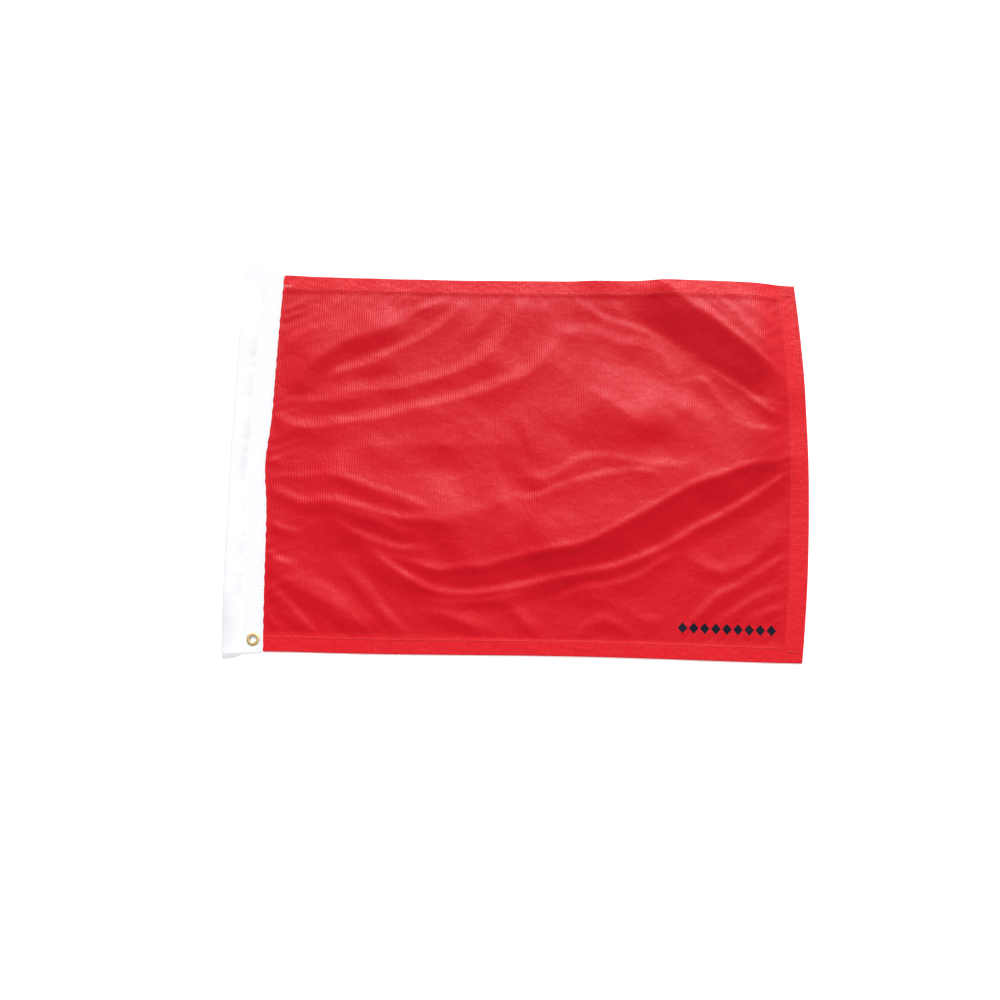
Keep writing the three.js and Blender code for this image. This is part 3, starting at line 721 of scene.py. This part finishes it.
def sewing_thread(name, dye):
    """Twisted polyester thread: a soft gloss broken by the lines of its twist."""
    material, tree, shader = material_named(name, {"Roughness": 0.5})
    place = node(tree, "ShaderNodeTexCoord").outputs["Object"]
    twist = node(tree, "ShaderNodeTexWave", {"Vector": place, "Scale": wave_scale(TWIST), "Distortion": 0.4},
                 bands_direction="DIAGONAL").outputs["Fac"]
    tone = node(tree, "ShaderNodeMix", {0: twist, 6: rgba(dye, 0.82), 7: rgba(dye)},
                data_type="RGBA").outputs[2]
    tree.links.new(tone, shader.inputs["Base Color"])
    bump = node(tree, "ShaderNodeBump", {"Strength": 0.5, "Distance": 0.05 * MM, "Height": twist})
    tree.links.new(bump.outputs[0], shader.inputs["Normal"])
    return material


HANDLING = 380.0  # cells a metre, of 2.6 mm
# Painted shade darkens the barrel's inner wall from this radius in, fading out over the next length.
BARREL_SHADE_EDGE = 2.45 * MM  # from the grommet's axis: the barrel's inner wall is just inside it
BARREL_SHADE_FADE = 0.5 * MM


def brass(settings):
    """Bright stamped brass: a pale gold polish, dulled in faint patches by handling, with painted shade that
    darkens the barrel's inner wall, which lies in shadow."""
    material, tree, shader = material_named("Bright Stamped Brass", {"Metallic": 1.0})
    place = node(tree, "ShaderNodeTexCoord").outputs["Object"]
    handling = node(tree, "ShaderNodeTexNoise", {"Vector": place, "Scale": HANDLING,
                                                 "Detail": 4.0}).outputs["Fac"]
    dull = node(tree, "ShaderNodeMapRange", {0: handling, 1: 0.4, 2: 0.7, 3: 0.0, 4: 0.5}).outputs[0]
    polished = node(tree, "ShaderNodeMix", {0: dull, 6: rgba(settings.brass), 7: rgba(linear("cfab69"))},
                    data_type="RGBA").outputs[2]
    centred = node(tree, "ShaderNodeVectorMath", {0: place, 1: GROMMET}, operation="SUBTRACT").outputs[0]
    across = node(tree, "ShaderNodeVectorMath", {0: centred, 1: (1.0, 1.0, 0.0)},
                  operation="MULTIPLY").outputs[0]
    radius = node(tree, "ShaderNodeVectorMath", {0: across}, operation="LENGTH").outputs["Value"]
    # Painted shade: the dark brown stands in for the shadow inside the barrel.
    barrel_shade = node(tree, "ShaderNodeMapRange", {0: radius, 1: BARREL_SHADE_EDGE, 2: BARREL_SHADE_EDGE + BARREL_SHADE_FADE,
                                                3: 0.85, 4: 0.0}).outputs[0]
    tone = node(tree, "ShaderNodeMix", {0: barrel_shade, 6: polished, 7: rgba(linear("5a4526"))},
                data_type="RGBA").outputs[2]
    tree.links.new(tone, shader.inputs["Base Color"])
    rough = node(tree, "ShaderNodeMapRange", {0: handling, 3: 0.5, 4: 0.68}).outputs[0]
    tree.links.new(rough, shader.inputs["Roughness"])
    return material


# ---- Stage ----

FLOOR_SIZE = 6.0
KEY_SPREAD = 34  # degrees that the key light spans, as a wide softbox does
KEY_HEIGHT = 42
KEY_TURN = 8  # from straight behind the flag's top edge towards the fly
LAMP_DISTANCE = 1.5
SENSOR = 36  # millimetres
# The sky's dimming, by height on a unit ball: white up to the wall's top, and dark from the ceiling on.
WALL_TOP, CEILING, CEILING_TONE = 0.2, 0.6, 0.05


class FLAG_OT_studio(bpy.types.Operator):
    """Camera, pale floor and soft studio light"""
    bl_idname = "signal_flag.studio"
    bl_label = "Studio"

    def execute(self, context):
        s = context.scene.flag_studio
        context.scene.view_settings.view_transform = "Standard"
        self.camera(context, s)
        self.floor()
        self.lights(context, s)
        return {"FINISHED"}

    def camera(self, context, s):
        level = math.cos(s.elevation)
        back = Vector((math.sin(s.azimuth) * level, -math.cos(s.azimuth) * level, math.sin(s.elevation)))
        bpy.ops.object.camera_add(location=Vector((s.aim_x, s.aim_y, 0)) + back * s.distance)
        camera = context.object
        camera.name = "studio_camera"
        camera.rotation_euler = (-back).to_track_quat("-Z", "Y").to_euler()
        camera.data.lens = s.lens
        camera.data.sensor_width = SENSOR
        camera.data.clip_start = 0.01
        context.scene.camera = camera

    def floor(self):
        bpy.ops.mesh.primitive_plane_add(size=FLOOR_SIZE, location=(0, 0, 0))
        floor = bpy.context.object
        floor.name = "studio_floor"
        # Lit from behind, so that the shadows on it stay pale.
        material, _, _ = material_named("Matt White Paper Sweep", {
            "Base Color": rgba(linear("f8f8f8")), "Roughness": 0.95, "Specular IOR Level": 0.1,
            "Emission Color": (1.0, 1.0, 1.0, 1.0), "Emission Strength": 0.5})
        floor.data.materials.append(material)

    def lights(self, context, s):
        turn, height = math.radians(KEY_TURN), math.radians(KEY_HEIGHT)
        level = math.cos(height)
        towards = Vector((math.sin(turn) * level, math.cos(turn) * level, math.sin(height)))
        bpy.ops.object.light_add(type="SUN", location=towards * LAMP_DISTANCE)
        key = context.object
        key.name = "key_softbox"
        key.rotation_euler = towards.to_track_quat("Z", "Y").to_euler()
        key.data.energy = s.key
        key.data.angle = math.radians(KEY_SPREAD)
        world = bpy.data.worlds.new("White Cyclorama")
        world.use_nodes = True
        tree = world.node_tree
        sky = tree.nodes["Background"]
        place = node(tree, "ShaderNodeTexCoord").outputs["Generated"]
        height = node(tree, "ShaderNodeSeparateXYZ", {0: place}).outputs[2]
        # The walls are white and the ceiling is dimmer, which keeps the crests of the folds clear.
        tone = node(tree, "ShaderNodeMapRange", {0: height, 1: WALL_TOP, 2: CEILING,
                                                 3: 1.0, 4: CEILING_TONE}).outputs[0]
        tree.links.new(tone, sky.inputs["Color"])
        sky.inputs["Strength"].default_value = s.sky
        context.scene.world = world


# ---- Red field ----

TURNED = 0.5 * MM  # the hems' folded edges stand this far past the sheet
PLY_SLACK = 0.05 * MM  # plies are drawn this much thinner than they are, so that they stay clear of others
HEM_SLACK, CANVAS_SLACK = 0.08 * MM, 0.06 * MM


class FLAG_OT_field(bpy.types.Operator):
    """The red cloth with its folds, sewn in between the sleeve's plies"""
    bl_idname = "signal_flag.field"
    bl_label = "Red Field"

    def execute(self, context):
        s = context.scene.flag_field
        rows = round((TOP_Y - BOTTOM_Y) / s.cell)
        columns = round((FLY_X - ALLOWANCE_X) / s.cell)
        share, y = np.meshgrid(np.linspace(0, 1, columns),
                               np.linspace(BOTTOM_Y + TURNED, TOP_Y - TURNED, rows), indexing="ij")
        x = ALLOWANCE_X + (fly_x(y) - TURNED - ALLOWANCE_X) * share
        obj = laid_sheet("red_field", x, y, CLOTH_Z, PLY - PLY_SLACK, GROMMET_HOLE)
        self.hem_distance(obj, s)
        finished(obj, nylon("Ribbed Satin Nylon Bunting", s, True),
                 ("field_panel", "field_seam_allowance"))
        bends(obj)
        return {"FINISHED"}

    def hem_distance(self, obj, s):
        """Distance in from the hemmed edges, 1 at a hem's inner edge, for the material."""
        x, y, _ = vertices(obj).T
        y = y - wander(x, y)
        inner = np.minimum(TOP_Y - y, y - BOTTOM_Y) / LONG_HEM
        inner = np.minimum(inner, (fly_x(y) - x) / s.fly_hem)
        layer = obj.data.attributes.new("hem_distance", "FLOAT", "POINT")
        layer.data.foreach_set("value", inner.astype(np.float32))


HEM_PLY_GAP = 0.3 * MM  # from one ply's middle to the next
HEM_END_GAP = 0.3 * MM  # from a long hem's end to the fly hem
TURN_START, TURN_CORNER = 0.35 * MM, 0.1 * MM  # how far in a turned edge starts to round, and is rounded off


def hem_path(width):
    """Section of a double-turned hem: (distance in from the edge, height from the cloth's middle). It
    comes over the cloth's edge, runs in under it, and turns back between."""
    g = HEM_PLY_GAP
    under_start, back_end = 0.45 * MM, 1.2 * MM
    turn = [(2 * TURN_START, 0.0), (TURN_START, 0.0), (TURN_CORNER, -0.25 * g), (0.0, -g),
            (TURN_CORNER, -1.75 * g), (under_start, -2 * g)]
    under = [(t, -2 * g) for t in np.linspace(under_start, width - TURN_START, 9)[1:]]
    inner = [(width - TURN_CORNER, -1.85 * g), (width, -1.5 * g), (width - TURN_CORNER, -1.15 * g)]
    back = [(t, -g) for t in np.linspace(width - TURN_START, back_end, 8)]
    return np.array(turn + under + inner + back)


class FLAG_OT_hems(bpy.types.Operator):
    """The double-turned hems along the top, the bottom and the fly"""
    bl_idname = "signal_flag.hems"
    bl_label = "Hems"

    def execute(self, context):
        s = context.scene.flag_field
        material = nylon("Turned Satin Nylon Hem", s, False)
        for name, edge, inwards in (("top_hem_fold", TOP_Y, -1), ("bottom_hem_fold", BOTTOM_Y, 1)):
            section = hem_path(LONG_HEM)
            y = edge + inwards * section[:, 0]
            share = np.linspace(0, 1, round((FLY_X - SEAM_X) / s.cell))[:, None]
            start, end = SEAM_X + HINGE_GAP, fly_x(y) - s.fly_hem - HEM_END_GAP
            obj = self.strip(name, start + (end - start) * share, y, section, inwards > 0)
            finished(obj, material, (name.replace("_fold", ""),))
            bends(obj)
        section = hem_path(s.fly_hem)
        y = np.linspace(BOTTOM_Y, TOP_Y, round((TOP_Y - BOTTOM_Y) / s.cell))[:, None]
        obj = self.strip("fly_hem_fold", fly_x(y) - section[:, 0], y, section, True)
        finished(obj, material, ("fly_hem",))
        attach(obj, "field")
        return {"FINISHED"}

    def strip(self, name, x, y, section, flip):
        """The turned plies of one hem, from the places of its section along the edge."""
        return laid_sheet(name, x, y, CLOTH_Z + section[:, 1], HEM_PLY_GAP - HEM_SLACK, flip=flip)


THREAD_WIDTH = 0.55 * MM
THREAD_HEIGHT = 0.36 * MM
STITCH_SHARE = 0.86  # of the pitch that the thread covers before it dips into the cloth
ON_CLOTH = 0.1 * MM  # from the cloth's face to a stitch's middle
HEM_BACK = PLY + 2 * HEM_PLY_GAP + 0.2 * MM  # from a hem's stitches down to those on its back
MARGIN_BACK = MARGIN_TOP - MARGIN_BOTTOM + 0.18 * MM  # and the same for the sleeve's margin
TACK_PITCH, TACK_THREAD = 0.62 * MM, 0.5 * MM


def row_on_cloth(name, start, end, pitch, back, place):
    """A stitch row between two points of the flat cut, on the cloth and on its back."""
    run = Vector(end) - Vector(start)
    count = int(run.length / pitch)
    step = run.normalized() * pitch
    lengthwise = abs(run.x) > abs(run.y)
    long = pitch * STITCH_SHARE
    size = (long, THREAD_WIDTH, THREAD_HEIGHT) if lengthwise else (THREAD_WIDTH, long, THREAD_HEIGHT)
    return stitches(name, Vector(start) + step / 2, step, count, size, back, place)


def along_fly(points):
    """Carries a straight upright row out to the bowed fly, then on to the laid cloth."""
    x, y, z = points.T
    return laid(np.column_stack((x + fly_x(y) - FLY_X, y, z)))


class FLAG_OT_field_stitching(bpy.types.Operator):
    """Stitch rows of the hems and the bar tacks at the fly's corners"""
    bl_idname = "signal_flag.field_stitching"
    bl_label = "Field Stitching"

    def execute(self, context):
        s = context.scene.flag_field
        material = sewing_thread("Twisted Red Polyester Thread", s.thread)
        top = PANEL_HIGH.z + ON_CLOTH
        for name in ("top_hem_thread", "bottom_hem_thread"):
            low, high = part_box(name)
            middle = (low.y + high.y) / 2
            obj = row_on_cloth(name + "_row", (low.x, middle, top), (high.x, middle, top), s.stitch,
                               HEM_BACK, laid)
            finished(obj, material, (name,))
            bends(obj)
        for name in ("fly_hem_thread_inner", "fly_hem_thread_outer"):
            low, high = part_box(name)
            x = high.x - (high.x - low.x - s.fly_bow) / 2
            obj = row_on_cloth(name + "_row", (x, low.y, top), (x, high.y, top), s.stitch, HEM_BACK,
                               along_fly)
            finished(obj, material, (name,))
            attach(obj, "field")
        for name in ("top_bar_tack", "bottom_bar_tack"):
            self.tack(name, top, material)
        return {"FINISHED"}

    def tack(self, name, top, material):
        low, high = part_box(name)
        middle = (low.y + high.y) / 2
        count = int((high.x - low.x) / TACK_PITCH)
        size = (TACK_THREAD, high.y - low.y, THREAD_HEIGHT)
        obj = stitches(name + "_thread", (low.x + TACK_PITCH / 2, middle, top), (TACK_PITCH, 0, 0), count,
                       size, HEM_BACK, laid)
        finished(obj, material, (name,))
        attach(obj, "field")


# ---- White sleeve ----

STATIONS = 190  # sections along the sleeve
MARGIN_STEPS, ROOF_STEPS = 12, 20  # points of a section on a ply of the margin, and on the roof
# The round of the fold: how far in it starts, how full it is, and how far in its corners are.
FOLD_REACH, FOLD_ROUND, FOLD_CORNER = 3.2 * MM, 0.28, 1 * MM
FLOOR_STEP = 4 * MM  # over which the lower ply comes down from the margin to the floor
ROOF_CREST, ROOF_FOOT = 0.72, 0.12  # shares of the roof's width over which it stays high, and levels out
SHUT_GAP = 0.3 * MM  # between the plies where the top is sewn shut
ROOF_DENTS, DENT_LENGTHS = 0.45 * MM, (83 * MM, 31 * MM)
SMALL_DENTS = 0.6  # height of the shorter dents, as a share of the longer ones'
MOUTH_REACH = 50 * MM  # length over which the unsupported mouth sinks
# The ply turned in at the mouth: its depth, its thickness, and how clear it is of the outer ply.
MOUTH_HEM, MOUTH_PLY, MOUTH_GAP = 10 * MM, 0.5 * MM, 0.3 * MM
MOUTH_HEM_START = 5.5 * MM  # from the margin, where the channel is too low for it
MOUTH_STATIONS = 8
SHUT_ROW_INSET, MOUTH_ROW_INSET = 9.5 * MM, 8 * MM  # from the sleeve's ends
TOP_TAIL = 7 * MM  # the top row's thread runs on this far over the red cloth
CANVAS_EDGE = 0.3 * MM  # past the seam, where a thread comes off the canvas
ROW_SUNK, ROW_PROUD = -0.08 * MM, 0.12 * MM  # how a row lies in the soft canvas, and on the red cloth


def bezier(p, q, r, s, count):
    """Points from p, which is left out, to s, on the curve that q and r pull."""
    t = np.linspace(0, 1, count + 1)[1:, None]
    p, q, r, s = (np.array(v, float) for v in (p, q, r, s))
    return (1 - t) ** 3 * p + 3 * (1 - t) ** 2 * t * q + 3 * (1 - t) * t ** 2 * r + t ** 3 * s


def straight(p, q, count):
    """Points from p, which is left out, to q."""
    t = np.linspace(0, 1, count + 1)[1:, None]
    return np.array(p, float) * (1 - t) + np.array(q, float) * t


def channel_height(y):
    """Outside height of the channel: open at the mouth, tapering to the sewn-shut top."""
    s = bpy.context.scene.flag_sleeve
    shut = 2 * s.ply + SHUT_GAP
    droop = s.droop * (1 - float(smooth((y - BOTTOM_Y) / MOUTH_REACH)))
    return shut + (CHANNEL_TOP - droop - shut) * float(smooth((TOP_Y - s.shut - y) / s.taper))


def sleeve_section(height):
    """Middle line of the folded strip in X and Z: in along the margin's lower ply, down to the channel's
    floor, round the fold, over the channel and out along the margin's upper ply. Also each point's share
    of the roof, 0 off it and 1 at its middle."""
    s = bpy.context.scene.flag_sleeve
    half = s.ply / 2
    margin_x = SEAM_X - s.margin
    inner_x, floor_x, fold_x = FOLD_X + FOLD_REACH, margin_x - FLOOR_STEP, FOLD_X + half
    low, high = MARGIN_BOTTOM + half, MARGIN_TOP - half
    floor, roof = half, height - half
    mid, bulge = (floor + roof) / 2, (roof - floor) * FOLD_ROUND
    ease = margin_x - inner_x
    parts = [
        np.array([(SEAM_X, low)]),
        straight((SEAM_X, low), (margin_x, low), MARGIN_STEPS),
        bezier((margin_x, low), (margin_x - FLOOR_STEP / 2, low), (floor_x + FLOOR_STEP / 2, floor),
               (floor_x, floor), 5),
        straight((floor_x, floor), (inner_x, floor), 6),
        bezier((inner_x, floor), (fold_x + FOLD_CORNER, floor), (fold_x, mid - bulge), (fold_x, mid), 8),
        bezier((fold_x, mid), (fold_x, mid + bulge), (fold_x + FOLD_CORNER, roof), (inner_x, roof), 8),
        bezier((inner_x, roof), (inner_x + ROOF_CREST * ease, roof), (margin_x - ROOF_FOOT * ease, high),
               (margin_x, high), ROOF_STEPS),
        straight((margin_x, high), (SEAM_X, high), MARGIN_STEPS),
    ]
    points = np.vstack(parts)
    on_roof = np.zeros(len(points))
    on_roof[-ROOF_STEPS - MARGIN_STEPS:-MARGIN_STEPS] = np.sin(np.linspace(0, math.pi, ROOF_STEPS))
    return points, on_roof


def flared(x, y):
    """The strip's ends lean outwards from the seam to the fold, so y is carried out with them."""
    s = bpy.context.scene.flag_sleeve
    reach = np.clip((SEAM_X - x) / SLEEVE_WIDTH, 0, 1)
    flare = np.where(y > MID_Y, s.flare_top, s.flare_bottom)
    return y + flare * reach * (y - MID_Y) / HALF_HEIGHT


def on_sleeve(points):
    """Carries points of the straight sleeve to where it lies, with its flared ends and its bowed seam."""
    x, y, z = np.asarray(points, float).T
    return np.column_stack((x + sway(x, y), flared(x, y), z))


def dents(y):
    """Shallow unevenness along the channel's roof."""
    long, short = (math.tau * y / run for run in DENT_LENGTHS)
    return ROOF_DENTS * (np.sin(long + 0.6) + SMALL_DENTS * (np.sin(short + 2.2) - 1))


class FLAG_OT_sleeve(bpy.types.Operator):
    """The white strip folded into a pole channel, and its hemmed mouth"""
    bl_idname = "signal_flag.sleeve"
    bl_label = "White Sleeve"

    def execute(self, context):
        s = context.scene.flag_sleeve
        material = canvas(s)
        grid, uv = [], []
        for y in np.linspace(BOTTOM_Y, TOP_Y, STATIONS):
            section, on_roof = sleeve_section(channel_height(y))
            open_share = (channel_height(y) - channel_height(TOP_Y)) / CHANNEL_TOP
            z = section[:, 1] + on_roof * dents(y) * open_share
            along = np.concatenate(([0], np.cumsum(np.hypot(*np.diff(section, axis=0).T))))
            grid.append(on_sleeve(np.column_stack((section[:, 0], np.full(len(z), y), z))))
            uv.append(np.column_stack((along, np.full(len(z), y - BOTTOM_Y))))
        obj = sheet("white_sleeve", np.array(grid), np.array(uv), s.ply - CANVAS_SLACK, GROMMET_HOLE)
        finished(obj, material, ("sleeve",))
        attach(obj, "sleeve")
        self.mouth_hem(s, material)
        return {"FINISHED"}

    def mouth_hem(self, s, material):
        """The turned ply inside the mouth."""
        inset = s.ply / 2 + MOUTH_GAP + MOUTH_PLY / 2
        section, _ = sleeve_section(channel_height(BOTTOM_Y))
        run = np.gradient(section, axis=0)
        run /= np.hypot(*run.T)[:, None]
        inner = section + inset * np.column_stack((run[:, 1], -run[:, 0]))
        inner = inner[inner[:, 0] < SEAM_X - s.margin - MOUTH_HEM_START]
        grid, uv = [], []
        for y in np.linspace(BOTTOM_Y + MOUTH_GAP, BOTTOM_Y + MOUTH_HEM, MOUTH_STATIONS):
            grid.append(on_sleeve(np.column_stack((inner[:, 0], np.full(len(inner), y), inner[:, 1]))))
            uv.append(np.column_stack((inner[:, 0] - FOLD_X, np.full(len(inner), y - BOTTOM_Y))))
        obj = sheet("sleeve_mouth_turning", np.array(grid), np.array(uv), MOUTH_PLY - PLY_SLACK)
        finished(obj, material, ("sleeve_mouth_hem",))
        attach(obj, "sleeve")


class FLAG_OT_sleeve_stitching(bpy.types.Operator):
    """The rows that close the margin, the top and the mouth's hem"""
    bl_idname = "signal_flag.sleeve_stitching"
    bl_label = "Sleeve Stitching"

    def execute(self, context):
        s = context.scene.flag_sleeve
        material = sewing_thread("Twisted White Polyester Thread", s.thread)
        top = MARGIN_TOP + ON_CLOTH
        for name in ("seam_thread_outer", "seam_thread_inner"):
            low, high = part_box(name)
            x = (low.x + high.x) / 2
            obj = row_on_cloth(name + "_row", (x, low.y, top), (x, high.y, top), s.stitch, MARGIN_BACK,
                               on_sleeve)
            finished(obj, material, (name,))
            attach(obj, "sleeve")
        self.cross_row("sleeve_top_thread", TOP_Y - SHUT_ROW_INSET, TOP_TAIL, s, material)
        self.cross_row("sleeve_mouth_thread", BOTTOM_Y + MOUTH_ROW_INSET, 0, s, material)
        return {"FINISHED"}

    def cross_row(self, name, y, tail, s, material):
        """A row over the sleeve's upper ply. Its tail runs on past the seam, loose on the red cloth."""
        low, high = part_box(name)
        end_x = SEAM_X + tail if tail else high.x
        section, _ = sleeve_section(channel_height(y))
        upper = section[len(section) // 2:]
        upper = upper[np.argsort(upper[:, 0])]

        def over(points):
            x, row_y, z = points.T
            on_ply = np.interp(x, upper[:, 0], upper[:, 1]) + s.ply / 2
            on_cloth = laid(np.column_stack((x, row_y, np.full(len(x), PANEL_HIGH.z))))[:, 2]
            surface = np.where(x < SEAM_X + CANVAS_EDGE, on_ply, on_cloth)
            placed = on_sleeve(np.column_stack((x, row_y, z)))
            placed[:, 2] = z + surface + np.where(x < SEAM_X, ROW_SUNK, ROW_PROUD)
            return placed

        obj = row_on_cloth(name + "_row", (low.x, y, 0), (end_x, y, 0), s.stitch, 0, over)
        finished(obj, material, (name,))
        if tail:
            bends(obj)
        else:
            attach(obj, "sleeve")


# ---- Brass grommet ----

BORE, BARREL = 2.4 * MM, 2.8 * MM  # radius inside and outside the barrel
LIP = 0.35 * MM  # how far the barrel's end is spread over the washer
ROLL, ROLL_END = 0.75 * MM, 0.4 * MM  # radius of the flange's roll into the bore, and how deep it ends
FLANGE_FALL, FLANGE_REACH = 0.08 * MM, 1.1 * MM  # the flange's top slopes down a little, this far in
RIM_ROUND = 0.55  # radius of the rim's round, as a share of the flange's height
CLEAR = 0.02 * MM  # of the floor and of the canvas
EASE = 0.1 * MM  # between the washer and the barrel
STEP = 0.3 * MM  # between the barrel's spread end and its straight part
WASHER_ROUND = 0.2 * MM
RING_STEPS = 64


def arc(radius, z, reach, start, end, count):
    """Points (radius, z) on part of a round of the given reach, between two angles in degrees."""
    angles = np.radians(np.linspace(start, end, count))
    return [(radius + reach * math.cos(a), z + reach * math.sin(a)) for a in angles]


class FLAG_OT_grommet(bpy.types.Operator):
    """The stamped brass grommet and its washer"""
    bl_idname = "signal_flag.grommet"
    bl_label = "Brass Grommet"

    def execute(self, context):
        material = brass(context.scene.flag_sleeve)
        rim, top = FLANGE_RADIUS, GROMMET_HIGH.z
        round_top = (top - MARGIN_TOP) * RIM_ROUND
        flange = lathe("brass_grommet", [
            (BORE + LIP, CLEAR),
            (BARREL + LIP, CLEAR),
            (BARREL + EASE, MARGIN_BOTTOM),
            (BARREL, MARGIN_BOTTOM + STEP),
            (BARREL, MARGIN_TOP),
            *arc(rim - round_top, MARGIN_TOP + CLEAR, round_top, 0, 90, 5),
            (rim - FLANGE_REACH, top - FLANGE_FALL),
            *arc(BORE + ROLL, top - ROLL, ROLL, 100, 180, 6),
            (BORE, MARGIN_TOP - ROLL_END),
            (BORE, MARGIN_BOTTOM + STEP),
        ], GROMMET, RING_STEPS)
        finished(flange, material, ("grommet",))
        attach(flange, "sleeve")
        inner, outer = BARREL + LIP + EASE, (WASHER_HIGH.x - WASHER_LOW.x) / 2
        washer = lathe("brass_washer", [
            (inner, CLEAR),
            *arc(outer - WASHER_ROUND, WASHER_ROUND + CLEAR, WASHER_ROUND, -90, 0, 4),
            (outer, MARGIN_BOTTOM),
            (inner - LIP, MARGIN_BOTTOM),
        ], GROMMET, RING_STEPS)
        finished(washer, material, ("grommet_washer",))
        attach(washer, "sleeve")
        return {"FINISHED"}


class FLAG_OT_declare_cloth(bpy.types.Operator):
    """Does nothing."""
    bl_idname = "signal_flag.declare_cloth"
    bl_label = "Declare Cloth"

    def execute(self, context):
        return {"FINISHED"}


class FLAG_PT_pieces(bpy.types.Panel):
    """Settings and pieces of the flag"""
    bl_idname = "FLAG_PT_pieces"
    bl_label = "Signal Flag"
    bl_space_type = "VIEW_3D"
    bl_region_type = "UI"
    bl_category = "Signal Flag"

    def draw(self, context):
        layout = self.layout
        for group in (context.scene.flag_studio, context.scene.flag_field, context.scene.flag_sleeve):
            for name in group.__annotations__:
                layout.prop(group, name)
        for operator in OPERATORS:
            layout.operator(operator.bl_idname)


GROUPS = (
    (FieldSettings, "flag_field"),
    (SleeveSettings, "flag_sleeve"),
    (StudioSettings, "flag_studio"),
)
OPERATORS = (
    FLAG_OT_studio,
    FLAG_OT_field,
    FLAG_OT_hems,
    FLAG_OT_field_stitching,
    FLAG_OT_sleeve,
    FLAG_OT_sleeve_stitching,
    FLAG_OT_grommet,
    FLAG_OT_declare_cloth,
)


def register():
    for group, name in GROUPS:
        bpy.utils.register_class(group)
        setattr(bpy.types.Scene, name, PointerProperty(type=group))
    for made in (*OPERATORS, FLAG_PT_pieces):
        bpy.utils.register_class(made)


def unregister():
    for made in (FLAG_PT_pieces, *reversed(OPERATORS)):
        bpy.utils.unregister_class(made)
    for group, name in reversed(GROUPS):
        delattr(bpy.types.Scene, name)
        bpy.utils.unregister_class(group)


def main():
    register()
    bpy.ops.signal_flag.studio()
    bpy.ops.signal_flag.field()
    bpy.ops.signal_flag.hems()
    bpy.ops.signal_flag.field_stitching()
    bpy.ops.signal_flag.sleeve()
    bpy.ops.signal_flag.sleeve_stitching()
    bpy.ops.signal_flag.grommet()
    bpy.ops.signal_flag.declare_cloth()


if __name__ == "__main__":
    main()
